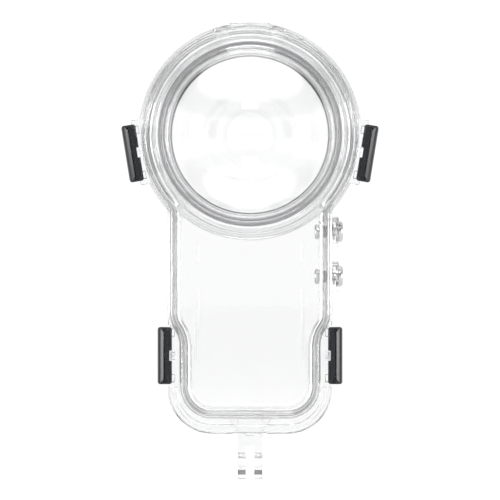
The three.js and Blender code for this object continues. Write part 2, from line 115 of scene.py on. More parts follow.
LATCH_REACH, LATCH_OUTER, LATCH_FRONT, LATCH_BACK, LATCH_LENGTH = 1.5, 3.8, 5.3, 2.9, 21.0
RIDGE_U, GROOVE_Y, LIP_Y = 1.4, -4.8, -5.2
HIP_LENGTH, HIP_DROP = 1.8, 1.2
PIN_U, PIN_Y, PIN_RADIUS, PIN_LENGTH = 1.7, 5.6, 0.9, 19.4
BARREL_RADIUS, BARREL_LENGTH = 2.1, 13.0
NOTCH_LENGTH = 3.7

BUTTON_Y = 9.2
BOSS_RADIUS, BOSS_ROOT, BOSS_FACE, BOSS_FLOOR = 5.75, 27.5, 32.8, 28.8
BOSS_BORE, BOSS_COUNTERBORE, BORE_START = 2.2, 4.2, 20
SHAFT_RADIUS, CAP_RADIUS = 1.6, 3.8

FOOT_RADIUS, FOOT_HOLE, FINGER, FINGER_GAP = 7.3, 2.5, 3.0, 3.1
FOOT_TOP, FOOT_SLOT_TOP = 9.0, 4.9

SIDES = ((-1, "left"), (1, "right"))


# ---- outlines in X and Z, all with the same number of points ----


def arc(centre, radius, start, stop, steps):
    points = []
    for i in range(steps + 1):
        angle = math.radians(start + (stop - start) * i / steps)
        points.append((centre[0] + radius * math.cos(angle), centre[1] + radius * math.sin(angle)))
    return points


CORNER_STEPS, SHOULDER_STEPS, JUNCTION_STEPS, HEAD_STEPS = 10, 6, 8, 44
LOW_POINTS = CORNER_STEPS + 2 * SHOULDER_STEPS + JUNCTION_STEPS + 4
SHOULDER_LOW, SHOULDER_HIGH = 42.0, 54.0
LEAST_STEP = 0.01  # a smaller step at the shoulder is none


def mirrored(right):
    return right + [(-x, z) for x, z in reversed(right[:-1])]


class Keyhole:
    """A round head on a straight body that may step in at its shoulder, with round bottom corners."""

    def __init__(self, ring, upper, lower, bottom, corner, junction):
        self.ring, self.upper, self.lower = ring, upper, lower
        self.bottom, self.corner, self.junction = bottom, corner, junction
        self.fillet_x = upper + junction
        self.fillet_z = RING_Z - math.sqrt((ring + junction) ** 2 - self.fillet_x**2)
        self.meet = math.degrees(math.atan2(RING_Z - self.fillet_z, -self.fillet_x))

    def shoulder(self, inset):
        rise, step = SHOULDER_HIGH - SHOULDER_LOW, self.upper - self.lower
        if step < LEAST_STEP:
            count = 2 * SHOULDER_STEPS + 1
            return [(self.upper - inset, SHOULDER_LOW + rise * i / count) for i in range(count + 1)]
        turn = 2 * math.atan2(step, rise)
        radius, degrees = rise / (2 * math.sin(turn)), math.degrees(turn)
        low = arc((self.lower + radius, SHOULDER_LOW), radius + inset, 180, 180 - degrees, SHOULDER_STEPS)
        high = arc((self.upper - radius, SHOULDER_HIGH), radius - inset, -degrees, 0, SHOULDER_STEPS)
        return low + high

    def half(self, inset):
        corner = self.corner - inset
        centre = (self.lower - self.corner, self.bottom + self.corner)
        return (
            arc(centre, corner, -90, 0, CORNER_STEPS)
            + self.shoulder(inset)
            + arc((self.fillet_x, self.fillet_z), self.junction + inset, 180, self.meet, JUNCTION_STEPS)
            + arc((0, RING_Z), self.ring - inset, self.meet - 180, 90, HEAD_STEPS)[1:]
        )

    def points(self, inset=0.0, head_inset=None):
        body = self.half(inset)
        if head_inset is None:
            return mirrored(body)
        head = self.half(head_inset)
        right = []
        for i, (a, b) in enumerate(zip(body, head)):
            t = min(max((i - (LOW_POINTS - JUNCTION_STEPS - 1)) / JUNCTION_STEPS, 0), 1)
            t = t * t * (3 - 2 * t)
            right.append((a[0] + (b[0] - a[0]) * t, a[1] + (b[1] - a[1]) * t))
        return mirrored(right)


class Circle:
    """A circle round the domes' centre whose points pair up with a keyhole's."""

    def __init__(self, radius, partner):
        self.radius, self.meet = radius, partner.meet

    def points(self, inset=0.0, head_inset=None):
        radius = self.radius - inset
        first = self.meet - 180
        angles = [-90 + (first + 90) * (i + 0.5) / (LOW_POINTS - 0.5) for i in range(LOW_POINTS)]
        angles += [first + (90 - first) * (i + 1) / HEAD_STEPS for i in range(HEAD_STEPS)]
        angles = [math.radians(a) for a in angles]
        right = [(radius * math.cos(a), RING_Z + radius * math.sin(a)) for a in angles]
        right[-1] = (0.0, RING_Z + radius)
        return mirrored(right)


WALL = Keyhole(ring=39.7, upper=29.4, lower=25.65, bottom=15.4, corner=12.0, junction=5.6)
FLANGE = Keyhole(ring=41.2, upper=30.2, lower=30.2, bottom=9.3, corner=16.5, junction=4.2)
DRUM = Circle(DRUM_RADIUS, WALL)
SEAT = Circle(SEAT_RADIUS, WALL)
APERTURE = Circle(APERTURE_RADIUS, WALL)


# ---- meshes ----

WELD = 0.00001  # vertices closer than this are one


def finished(name, bm, body, material, stands_for=(), smooth=40):
    """Turns a bmesh in millimetres into a piece in metres that rides on a body."""
    bmesh.ops.recalc_face_normals(bm, faces=bm.faces)
    mesh = bpy.data.meshes.new(name)
    bm.to_mesh(mesh)
    bm.free()
    mesh.transform(Matrix.Scale(MM, 4))
    piece = bpy.data.objects.new(name, mesh)
    bpy.context.scene.collection.objects.link(piece)
    mesh.materials.append(material)
    shade(piece, smooth)
    piece.visible_shadow = material not in (CLEAR, DOME_CLEAR)  # clear plastic casts next to none
    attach(piece, body)
    if stands_for:
        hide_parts(*stands_for)
    return piece


def apply_modifiers(piece):
    evaluated = piece.evaluated_get(bpy.context.evaluated_depsgraph_get())
    mesh = bpy.data.meshes.new_from_object(evaluated)
    piece.modifiers.clear()
    piece.data = mesh


def shade(piece, smooth):
    piece.data.shade_smooth()
    piece.data.set_sharp_from_angle(angle=math.radians(smooth))
    weighted = piece.modifiers.new("weighted", "WEIGHTED_NORMAL")
    weighted.keep_sharp = True
    apply_modifiers(piece)


def loft(rings):
    """A closed surface through rings of the same length; the last ring joins the first."""
    bm = bmesh.new()
    rows = [[bm.verts.new(p) for p in ring] for ring in rings]
    for i, row in enumerate(rows):
        nxt = rows[(i + 1) % len(rows)]
        for k in range(len(row)):
            j = (k + 1) % len(row)
            bm.faces.new((row[k], row[j], nxt[j], nxt[k]))
    bmesh.ops.recalc_face_normals(bm, faces=bm.faces)
    return bm


FINE_CORNER, SMALL_CORNER = 0.35, 1.2  # radii under which a corner gets fewer steps


def rounded_corner(corner):
    """Insets and depths round one corner of a section, from (inset, depth, radius, from, to)."""
    inset, depth, radius, (fi, fd), (ti, td) = corner
    steps = 2 if radius < FINE_CORNER else 4 if radius < SMALL_CORNER else 7
    centre = (inset - radius * fi + radius * ti, depth - radius * fd + radius * td)
    places = []
    for k in range(steps + 1):
        a = math.pi / 2 * k / steps
        places.append((
            centre[0] - radius * math.cos(a) * ti + radius * math.sin(a) * fi,
            centre[1] - radius * math.cos(a) * td + radius * math.sin(a) * fd,
        ))
    return places


OUT, IN, UP, DOWN = (-1, 0), (1, 0), (0, 1), (0, -1)


def section_rings(corners, facing):
    rings = []
    for outline, inset, depth, radius, way_in, way_out, head_radius in corners:
        places = rounded_corner((inset, depth, radius, way_in, way_out))
        heads = rounded_corner((inset, depth, head_radius or radius, way_in, way_out))
        if len(heads) != len(places):
            heads = [heads[round(k * (len(heads) - 1) / (len(places) - 1))] for k in range(len(places))]
        for (s, d), (hs, _) in zip(places, heads):
            points = outline.points(s, hs if head_radius else None)
            rings.append([(x, facing * d, z) for x, z in points])
    return rings


def shell_body(facing, groove_depth):
    """A shell's wall, flange, drum and dome seat as one surface swept round the keyhole."""
    wall = WALL_THICKNESS
    corners = [
        (WALL, wall, FACE_GAP, 0.3, DOWN, OUT, None),
        (WALL, GROOVE_INNER, FACE_GAP, GROOVE_ROUND, OUT, UP, None),
        (WALL, GROOVE_INNER, groove_depth, GROOVE_ROUND, UP, OUT, None),
        (WALL, GROOVE_OUTER, groove_depth, GROOVE_ROUND, OUT, DOWN, None),
        (WALL, GROOVE_OUTER, FACE_GAP, GROOVE_ROUND, DOWN, OUT, None),
        (FLANGE, 0, FACE_GAP, 0.3, OUT, UP, None),
        (FLANGE, 0, FLANGE_DEPTH, 1.4, UP, IN, 0.6),
        (WALL, 0, FLANGE_DEPTH, 0.5, IN, UP, None),
        (WALL, 0, BODY_DEPTH, 2.0, UP, IN, 0.35),
        (DRUM, 0, BODY_DEPTH, 0.5, IN, UP, None),
        (DRUM, 0, DRUM_DEPTH, 0.25, UP, IN, None),
        (SEAT, 0, DRUM_DEPTH, 0.15, IN, DOWN, None),
        (SEAT, 0, SEAT_DEPTH, 0.2, DOWN, IN, None),
        (APERTURE, 0, SEAT_DEPTH, 0.25, IN, DOWN, None),
        (APERTURE, 0, CAVITY_DEPTH, 0.5, DOWN, OUT, None),
        (WALL, wall, CAVITY_DEPTH, 1.8, OUT, DOWN, None),
    ]
    return loft(section_rings(corners, facing))


def prism(outline, low, high, plane="xz", bevel=0.0, segments=2):
    """A flat outline made solid across its plane's normal, with rounded edges."""
    bm = bmesh.new()
    place = {
        "xz": lambda a, b, c: (a, c, b),
        "xy": lambda a, b, c: (a, b, c),
        "yz": lambda a, b, c: (c, a, b),
    }[plane]
    face = bm.faces.new([bm.verts.new(place(a, b, low)) for a, b in outline])
    made = bmesh.ops.extrude_face_region(bm, geom=[face])
    shift = Vector(place(0, 0, high - low))
    bmesh.ops.translate(bm, verts=[v for v in made["geom"] if isinstance(v, bmesh.types.BMVert)], vec=shift)
    bmesh.ops.recalc_face_normals(bm, faces=bm.faces)
    if bevel:
        sharp = [e for e in bm.edges if e.calc_face_angle(0) > math.radians(30)]
        bmesh.ops.bevel(bm, geom=sharp, offset=bevel, segments=segments, profile=0.5, affect="EDGES",
                        clamp_overlap=True)
    return bm


def block(low, high, bevel=0.0):
    return prism([(low[0], low[2]), (high[0], low[2]), (high[0], high[2]), (low[0], high[2])],
                 low[1], high[1], "xz", bevel)


def turned(profile, centre, axis, steps=64):
    """A lathe piece: profile is [radius, distance along the axis]; it closes on itself or at the axis."""
    bm = bmesh.new()
    to_axis = {"x": lambda r, t, a: (t, r * math.cos(a), r * math.sin(a)),
               "y": lambda r, t, a: (r * math.cos(a), t, r * math.sin(a)),
               "z": lambda r, t, a: (r * math.cos(a), r * math.sin(a), t)}[axis]
    rows = []
    for r, t in profile:
        count = 1 if r < NEAR_ZERO else steps
        row = []
        for k in range(count):
            place = to_axis(r, t, 2 * math.pi * k / steps)
            row.append(bm.verts.new([c + p for c, p in zip(centre, place)]))
        rows.append(row)
    ends_on_axis = len(rows[0]) == 1 and len(rows[-1]) == 1
    pairs = list(zip(rows, rows[1:])) + ([] if ends_on_axis else [(rows[-1], rows[0])])
    for a, b in pairs:
        for k in range(steps):
            j = (k + 1) % steps
            if len(a) == 1 and len(b) == 1:
                continue
            if len(a) == 1:
                bm.faces.new((a[0], b[j], b[k]))
            elif len(b) == 1:
                bm.faces.new((a[k], a[j], b[0]))
            else:
                bm.faces.new((a[k], a[j], b[j], b[k]))
    bmesh.ops.recalc_face_normals(bm, faces=bm.faces)
    return bm


def merged(parts):
    """Several bmeshes in one, which doesn't join their surfaces."""
    whole = bmesh.new()
    for part in parts:
        mesh = bpy.data.meshes.new("part")
        part.to_mesh(mesh)
        part.free()
        whole.from_mesh(mesh)
        bpy.data.meshes.remove(mesh)
    return whole


def boolean(base, other, operation):
    """base with other joined to it or cut from it, as one closed surface."""
    objects = []
    for bm in (base, other):
        mesh = bpy.data.meshes.new("operand")
        bm.to_mesh(mesh)
        bm.free()
        operand = bpy.data.objects.new("operand", mesh)
        bpy.context.scene.collection.objects.link(operand)
        objects.append(operand)
    modifier = objects[0].modifiers.new("boolean", "BOOLEAN")
    modifier.operation, modifier.solver, modifier.object = operation, "EXACT", objects[1]
    evaluated = objects[0].evaluated_get(bpy.context.evaluated_depsgraph_get())
    mesh = bpy.data.meshes.new_from_object(evaluated)
    result = bmesh.new()
    result.from_mesh(mesh)
    for operand in objects:
        data = operand.data
        bpy.data.objects.remove(operand)
        bpy.data.meshes.remove(data)
    bpy.data.meshes.remove(mesh)
    bmesh.ops.remove_doubles(result, verts=result.verts, dist=WELD)
    bmesh.ops.dissolve_degenerate(result, edges=result.edges, dist=WELD)
    bmesh.ops.holes_fill(result, edges=[e for e in result.edges if e.is_boundary], sides=4)
    return result


def with_parts(base, *groups):
    """base joined to groups of parts; the parts of one group don't touch each other."""
    for group in groups:
        base = boolean(base, merged(group), "UNION")
    return base


# ---- materials ----


def new_material(name):
    material = bpy.data.materials.new(name)
    material.use_nodes = True
    tree = material.node_tree
    return material, tree, tree.nodes["Principled BSDF"], tree.nodes["Material Output"]


def noise(tree, scale, detail=3.0, rough=0.5):
    place = tree.nodes.new("ShaderNodeTexCoord")
    texture = tree.nodes.new("ShaderNodeTexNoise")
    texture.inputs["Scale"].default_value = scale
    texture.inputs["Detail"].default_value = detail
    texture.inputs["Roughness"].default_value = rough
    tree.links.new(place.outputs["Object"], texture.inputs["Vector"])
    return texture


def ranged(tree, source, low, high):
    spread = tree.nodes.new("ShaderNodeMapRange")
    spread.inputs["To Min"].default_value = low
    spread.inputs["To Max"].default_value = high
    tree.links.new(source, spread.inputs["Value"])
    return spread.outputs["Result"]


def bumped(tree, shader, source, strength, distance):
    bump = tree.nodes.new("ShaderNodeBump")
    bump.inputs["Strength"].default_value = strength
    bump.inputs["Distance"].default_value = distance
    tree.links.new(source, bump.inputs["Height"])
    tree.links.new(bump.outputs["Normal"], shader.inputs["Normal"])


def clear_plastic(name, density, rough_low, rough_high):
    material, tree, shader, output = new_material(name)
    shader.inputs["Base Color"].default_value = (0.985, 0.986, 0.987, 1)
    shader.inputs["Transmission Weight"].default_value = 1.0
    shader.inputs["IOR"].default_value = 1.57
    flow = noise(tree, 45, 2)
    tree.links.new(ranged(tree, flow.outputs["Fac"], rough_low, rough_high), shader.inputs["Roughness"])
    bumped(tree, shader, noise(tree, 40, 1).outputs["Fac"], 0.05, 0.0002)
    absorb = tree.nodes.new("ShaderNodeVolumeAbsorption")
    absorb.inputs["Color"].default_value = (0.775, 0.779, 0.781, 1)
    absorb.inputs["Density"].default_value = density
    tree.links.new(absorb.outputs["Volume"], output.inputs["Volume"])
    return material


def silicone(name, shade, through):
    material, tree, shader, _ = new_material(name)
    shader.inputs["Base Color"].default_value = (*shade, 1)
    shader.inputs["Transmission Weight"].default_value = through
    shader.inputs["IOR"].default_value = 1.41
    grain = noise(tree, 900, 3)
    tree.links.new(ranged(tree, grain.outputs["Fac"], 0.25, 0.45), shader.inputs["Roughness"])
    bumped(tree, shader, grain.outputs["Fac"], 0.2, 0.0001)
    return material


def black_plastic():
    material, tree, shader, _ = new_material("black_gloss_plastic")
    shader.inputs["IOR"].default_value = 1.45
    shader.inputs["Specular IOR Level"].default_value = 0.4
    grain = noise(tree, 1400, 4)
    ramp = tree.nodes.new("ShaderNodeValToRGB")
    ramp.color_ramp.elements[0].color = (0.006, 0.007, 0.009, 1)
    ramp.color_ramp.elements[1].color = (0.010, 0.011, 0.013, 1)
    tree.links.new(grain.outputs["Fac"], ramp.inputs["Fac"])
    tree.links.new(ramp.outputs["Color"], shader.inputs["Base Color"])
    tree.links.new(ranged(tree, noise(tree, 160, 2).outputs["Fac"], 0.10, 0.18), shader.inputs["Roughness"])
    bumped(tree, shader, noise(tree, 300, 2).outputs["Fac"], 0.05, 0.00005)
    return material


def steel():
    material, tree, shader, _ = new_material("turned_steel")
    shader.inputs["Metallic"].default_value = 1.0
    lines = noise(tree, 2500, 2)
    ramp = tree.nodes.new("ShaderNodeValToRGB")
    ramp.color_ramp.elements[0].color = (0.42, 0.42, 0.425, 1)
    ramp.color_ramp.elements[1].color = (0.58, 0.58, 0.585, 1)
    tree.links.new(lines.outputs["Fac"], ramp.inputs["Fac"])
    tree.links.new(ramp.outputs["Color"], shader.inputs["Base Color"])
    tree.links.new(ranged(tree, lines.outputs["Fac"], 0.06, 0.16), shader.inputs["Roughness"])
    return material


def rubber():
    material, tree, shader, _ = new_material("black_rubber")
    grain = noise(tree, 1800, 4)
    ramp = tree.nodes.new("ShaderNodeValToRGB")
    ramp.color_ramp.elements[0].color = (0.02, 0.02, 0.021, 1)
    ramp.color_ramp.elements[1].color = (0.035, 0.035, 0.037, 1)
    tree.links.new(grain.outputs["Fac"], ramp.inputs["Fac"])
    tree.links.new(ramp.outputs["Color"], shader.inputs["Base Color"])
    tree.links.new(ranged(tree, grain.outputs["Fac"], 0.55, 0.75), shader.inputs["Roughness"])
    return material


CLEAR = clear_plastic("clear_polycarbonate", 60.0, 0.0, 0.02)
DOME_CLEAR = clear_plastic("clear_dome", 58.0, 0.0, 0.01)
SILICONE = silicone("clear_silicone", (0.93, 0.93, 0.93), 0.95)
GREY_SILICONE = silicone("grey_silicone", (0.42, 0.42, 0.43), 0.75)
BLACK = black_plastic()
STEEL = steel()
RUBBER = rubber()


# ---- latches: drawn by u (outwards from the flange's edge) and y, with their length along Z ----


def hinge_frame(name):
    """The latch's own frame from its joint: u points outwards, z lies along the pin."""
    joint = next(j for j in frame["joints"] if j["name"] == f"latch_{name}_hinge")
    side = -1 if name.endswith("left") else 1
    along = Vector(joint["axis"]) * side
    out = Vector((0, 1, 0)).cross(along) * side
    origin = Vector(joint["pos_m"]) / MM - out * PIN_U
    origin.y = 0
    turn = Matrix((out * side, Vector((0, 1, 0)), along)).transposed().to_4x4()
    return side, Matrix.Translation(origin) @ turn


def placed(bm, matrix):
    bmesh.ops.transform(bm, matrix=matrix, verts=bm.verts)
    return bm


def latch_prism(outline, side, low, high, bevel=0.0, segments=2):
    return prism([(side * u, y) for u, y in outline], low, high, "xy", bevel, segments)


def softened(bm, width, steepest=35):
    """Rounds every edge that is sharper than an angle."""
    sharp = [e for e in bm.edges if len(e.link_faces) == 2 and e.calc_face_angle(0) > math.radians(steepest)]
    bmesh.ops.bevel(bm, geom=sharp, offset=width, segments=2, profile=0.5, affect="EDGES", clamp_overlap=True)
    return bm


DIMPLE_RADIUS, DIMPLE_U, DIMPLE_Y, DIMPLE_INSET = 0.85, 1.1, -5.05, 1.15


def latch_dimple(side, end):
    """The small round hollow in the slope at one end of a latch."""
    ball = [(abs(r), y) for r, y in arc((0, 0), DIMPLE_RADIUS, -90, 90, 10)]
    ball[0], ball[-1] = (0, -DIMPLE_RADIUS), (0, DIMPLE_RADIUS)
    return turned(ball, (side * DIMPLE_U, DIMPLE_Y, end * (LATCH_LENGTH / 2 - DIMPLE_INSET)), "y", 24)


LATCH_CORNER, LATCH_CORNER_STEPS = 1.0, 6


def latch_outline(side):
    """The latch seen from the front, a rectangle with round corners, as a block to cut it to."""
    half, low, r = LATCH_LENGTH / 2 - LATCH_CORNER, -LATCH_REACH + LATCH_CORNER, LATCH_CORNER
    high = LATCH_OUTER - LATCH_CORNER
    centres = ((high, half), (low, half), (low, -half), (high, -half))
    points = []
    for quarter, centre in enumerate(centres):
        points += arc(centre, r, 90 * quarter, 90 * (quarter + 1), LATCH_CORNER_STEPS)
    return prism([(side * u, z) for u, z in points], -LATCH_FRONT - OVER, LATCH_BACK + OVER, "xz")


LIP_START, LIP_STOP, LIP_END = 0.3, 0.6, 0.9  # along u from the latch's tip
NOTCH_DEPTH, NOTCH_FRONT, NOTCH_BACK = 0.9, -7, -3
LATCH_INNER = 0.5  # u of the latch's back part, just outside the flange
LATCH_EDGE, NECK_EDGE, BARREL_EDGE = 0.16, 0.2, 0.3


def latch_body(side):
    half, front, back = LATCH_LENGTH / 2, -LATCH_FRONT, LATCH_BACK
    under, tip = -FLANGE_DEPTH - PART_GAP, -LATCH_REACH
    bar = [
        (tip, under), (tip, GROOVE_Y),
        (tip + LIP_START, LIP_Y), (tip + LIP_STOP, LIP_Y), (tip + LIP_END, GROOVE_Y),
        (RIDGE_U - 0.3, GROOVE_Y), (RIDGE_U, front), (RIDGE_U + 0.25, front + 0.05),
        (2.8, -4.35), (3.3, -3.8),
        (3.65, -3.0), (LATCH_OUTER, -2.0), (LATCH_OUTER, back),
        (LATCH_INNER, back), (LATCH_INNER, under),
    ]
    neck = [(LATCH_INNER, back - SUNK), (LATCH_OUTER, back - SUNK),
            (LATCH_OUTER, PIN_Y), (LATCH_INNER, PIN_Y)]
    reach = BARREL_LENGTH / 2
    barrel = turned([(0, -reach), (BARREL_RADIUS - BARREL_EDGE, -reach),
                     (BARREL_RADIUS, -reach + BARREL_EDGE), (BARREL_RADIUS, reach - BARREL_EDGE),
                     (BARREL_RADIUS - BARREL_EDGE, reach), (0, reach)],
                    (side * PIN_U, PIN_Y, 0), "z", 32)
    hips = []
    for end in (-1, 1):
        start = half - HIP_LENGTH
        fall = HIP_DROP / HIP_LENGTH * (HIP_LENGTH + OVER)
        slope = [(front, end * start), (front + fall, end * (half + OVER)),
                 (front - OVER, end * (half + OVER)), (front - OVER, end * start)]
        hips.append(prism(slope, -LATCH_OUTER - OVER, LATCH_OUTER + OVER, "yz"))
    notch = latch_prism([(tip - OVER, NOTCH_FRONT), (tip + NOTCH_DEPTH, NOTCH_FRONT),
                         (tip + NOTCH_DEPTH, NOTCH_BACK), (tip - OVER, NOTCH_BACK)],
                        side, -NOTCH_LENGTH / 2, NOTCH_LENGTH / 2)
    grip = boolean(latch_prism(bar, side, -half, half), latch_outline(side), "INTERSECT")
    grip = boolean(grip, merged(hips), "DIFFERENCE")
    grip = softened(boolean(grip, notch, "DIFFERENCE"), LATCH_EDGE)
    bmesh.ops.recalc_face_normals(grip, faces=grip.faces)
    grip = boolean(grip, merged([latch_dimple(side, end) for end in (-1, 1)]), "DIFFERENCE")
    body = boolean(grip, latch_prism(neck, side, -reach, reach, NECK_EDGE), "UNION")
    body = boolean(body, barrel, "UNION")
    hole = turned([(0, -half), (PIN_RADIUS + PART_GAP, -half), (PIN_RADIUS + PART_GAP, half), (0, half)],
                  (side * PIN_U, PIN_Y, 0), "z", 24)
    return boolean(body, hole, "DIFFERENCE")


def latch_pin(side):
    half = PIN_LENGTH / 2
    return turned([(0, -half), (PIN_RADIUS - 0.2, -half), (PIN_RADIUS, -half + 0.2), (PIN_RADIUS, half - 0.2),
                   (PIN_RADIUS - 0.2, half), (0, half)], (side * PIN_U, PIN_Y, 0), "z", 24)


LUG_INNER, LUG_OUTER, LUG_ROOT, LUG_EDGE = 6.9, 9.9, 2.6, 0.35


def latch_lug_pair(side):
    web = [(-LUG_ROOT, FLANGE_DEPTH - 0.9), (-0.2, FLANGE_DEPTH - 0.9), (PIN_U + 0.4, PIN_Y - 2.05),
           (PIN_U + BARREL_RADIUS, PIN_Y), (PIN_U, PIN_Y + BARREL_RADIUS), (-LUG_ROOT, FLANGE_DEPTH + 1.4)]
    spans = [facing_span(end, LUG_INNER, LUG_OUTER) for end in (-1, 1)]
    return merged([latch_prism(web, side, low, high, LUG_EDGE, 3) for low, high in spans])


def latch_lug_hole(side):
    reach = LUG_OUTER + OVER
    radius = PIN_RADIUS + PART_GAP
    return turned([(0, -reach), (radius, -reach), (radius, reach), (0, reach)],
                  (side * PIN_U, PIN_Y, 0), "z", 24)


def latch_catch(side):
    half = NOTCH_LENGTH / 2 - PART_GAP
    outline = [(-2.6, -2.8), (-0.95, -2.8), (-0.95, -4.6), (-1.7, -5.0), (-2.6, -4.2)]
    return latch_prism(outline, side, -half, half, 0.12)


PAD_WIDTH, PAD_OVERHANG = 4, 1.5


def latch_pad(side, low, high):
    """The flange's straight pad behind an upper latch."""
    outline = [(-PAD_WIDTH, low), (0, low), (0, high), (-PAD_WIDTH, high)]
    half = LATCH_LENGTH / 2 + PAD_OVERHANG
    return latch_prism(outline, side, -half, half, LUG_EDGE, 3)


LATCH_NAMES = [f"{level}_{side}" for level in ("upper", "lower") for _, side in SIDES]


# ---- shells ----


def facing_span(facing, near, far):
    return tuple(sorted((facing * near, facing * far)))


def drafted(deep, wide, y_deep, y_wide):
    """A cutter whose outline grows from its deep end to its open end, so the walls it leaves slope."""
    bm = bmesh.new()
    ends = [[bm.verts.new((x, y, z)) for x, z in outline] for outline, y in ((deep, y_deep), (wide, y_wide))]
    for k in range(len(deep)):
        j = (k + 1) % len(deep)
        bm.faces.new((ends[0][k], ends[0][j], ends[1][j], ends[1][k]))
    for end in ends:
        bm.faces.new(end)
    bmesh.ops.recalc_face_normals(bm, faces=bm.faces)
    return bm


SLOT_OUTER, SLOT_INNER, SLOT_DEPTH, DRAFT = 40.1, 39.0, 1.2, 0.5
SLOT_SPANS = ((51, 61), (63, 70), (110, 117), (119, 129))  # degrees round the domes' centre


def ring_slot(start, stop):
    def outline(spread):
        turn = math.degrees(spread / SLOT_OUTER)
        return (arc((0, RING_Z), SLOT_OUTER + 0.3 * spread, start - turn, stop + turn, 8)
                + arc((0, RING_Z), SLOT_INNER - spread, stop + turn, start - turn, 8))

    return drafted(outline(0), outline(2 * DRAFT), -FLANGE_DEPTH + SLOT_DEPTH, -FLANGE_DEPTH - SLOT_DEPTH)


PRY_HALF_TAB, PRY_HALF_NOTCH, PRY_NOTCH_BOTTOM, PRY_NOTCH_TOP, PRY_TAB_TOP = 7.5, 13.1, 154.7, 165, 160.4
PRY_FLOOR_Y, TOOTH_HEIGHT, TOOTH_PITCH, TOOTH_COUNT, TOOTH_MARGIN = -1.7, 0.45, 0.9, 5, 0.5
TAB_LOW, TAB_FRONT, TAB_ROOT = 158.4, 5.2, 1


BAY_CLEARANCE, BAY_DEPTH, BAY_HALF_WIDTH = 0.6, 0.7, 4


def latch_bay(side):
    """The cut in the flange's edge that makes room for a lower latch."""
    half = LATCH_LENGTH / 2 + BAY_CLEARANCE
    outline = [(-BAY_DEPTH, -BAY_HALF_WIDTH), (OVER, -BAY_HALF_WIDTH), (OVER, BAY_HALF_WIDTH),
               (-BAY_DEPTH, BAY_HALF_WIDTH)]
    return latch_prism(outline, side, -half, half)


def latch_parts(make, wanted):
    """One part for each latch whose name starts with wanted, in its place."""
    frames = [hinge_frame(name) for name in LATCH_NAMES if name.startswith(wanted)]
    return [placed(make(side), place) for side, place in frames]


# half-width, bottom, corner radius and top of the outer line of each U-shaped rail
CRADLE, CRADLE_WIDTH = (22.4, 18.6, 9.0, 37.0), 1.8
BEAD, BEAD_WIDTH, BEAD_HEIGHT = (28.2, 11.2, 14.5, 26.6), 1.6, 1.1


def u_rail(outline, width, low, high, bevel):
    """A rail that runs down one side, round the bottom corners and up the other side."""
    half_width, bottom, corner, top = outline

    def line(inset):
        centre = (half_width - corner, bottom + corner)
        right = arc(centre, corner - inset, -90, 0, 16) + [(half_width - inset, top)]
        return [(-x, z) for x, z in reversed(right)] + right

    return prism(line(0) + line(width)[::-1], low, high, "xz", bevel)


def flange_bead(facing):
    return u_rail(BEAD, BEAD_WIDTH, *facing_span(facing, FLANGE_DEPTH - 0.8, FLANGE_DEPTH + BEAD_HEIGHT), 0.6)


RIB_FROM, RIB_TO, RIB_COUNT = 212, 231, 7  # degrees round the domes' centre
RIB_INNER, RIB_OUTER, RIB_NEAR, RIB_THICKNESS = 37.4, 43.0, 11.0, 0.6


def corner_ribs(facing):
    """Short ribs in the corners where the head meets the body."""
    ribs = []
    for side, _ in SIDES:
        for i in range(RIB_COUNT):
            turn = math.radians(RIB_FROM + (RIB_TO - RIB_FROM) * i / (RIB_COUNT - 1))
            half = RIB_THICKNESS / 2
            rib = block((RIB_INNER, RIB_NEAR, -half), (RIB_OUTER, CAVITY_DEPTH + SUNK, half))
            place = Matrix.Translation((0, 0, RING_Z)) @ Matrix.Rotation(-turn, 4, "Y")
            flip = Matrix.Scale(-side, 4, (1, 0, 0)) @ Matrix.Scale(facing, 4, (0, 1, 0))
            ribs.append(placed(rib, flip @ place))
    ribs = merged(ribs)
    bmesh.ops.recalc_face_normals(ribs, faces=ribs.faces)
    inside = prism(WALL.points(0.5), *facing_span(facing, 0, BODY_DEPTH))
    return boolean(ribs, inside, "INTERSECT")


def pry_notch(side):
    """A finger notch beside the tab, with grip ridges across its floor."""
    def outline(spread):
        near, far = side * (PRY_HALF_TAB - 0.3 * spread), side * (PRY_HALF_NOTCH + spread)
        low, high = PRY_NOTCH_BOTTOM - spread, PRY_NOTCH_TOP
        return [(near, low), (far, low), (far, high), (near, high)]

    notch = drafted(outline(0), outline(2 * DRAFT), PRY_FLOOR_Y, -FLANGE_DEPTH - 1.5)
    first = PRY_NOTCH_BOTTOM + TOOTH_MARGIN
    teeth = [(PRY_FLOOR_Y - 0.3, first)]
    for i in range(TOOTH_COUNT):
        low = first + i * TOOTH_PITCH
        teeth += [(PRY_FLOOR_Y + TOOTH_HEIGHT, low + TOOTH_PITCH / 2), (PRY_FLOOR_Y, low + TOOTH_PITCH)]
    teeth += [(PRY_FLOOR_Y - 0.3, first + TOOTH_COUNT * TOOTH_PITCH)]
    x0, x1 = sorted((side * (PRY_HALF_TAB + 0.4), side * (PRY_HALF_NOTCH - 0.4)))
    return boolean(notch, prism(teeth, x0, x1, "yz"), "UNION")


def front_shell():
    pads = latch_parts(lambda side: latch_pad(side, *facing_span(-1, FACE_GAP, FLANGE_DEPTH)), "upper")
    tab = block((-PRY_HALF_TAB, -TAB_FRONT, TAB_LOW), (PRY_HALF_TAB, -TAB_ROOT, PRY_TAB_TOP), EDGE)
    body = with_parts(shell_body(-1, FRONT_GROOVE), [*pads, tab, flange_bead(-1)], [corner_ribs(-1)])
    notches = [pry_notch(side) for side, _ in SIDES]
    slots = [ring_slot(a, b) for a, b in SLOT_SPANS]
    for cuts in (notches + latch_parts(latch_bay, "lower"), slots[::2], slots[1::2]):
        body = boolean(body, merged(cuts), "DIFFERENCE")
    return with_parts(body, latch_parts(latch_catch, ""))


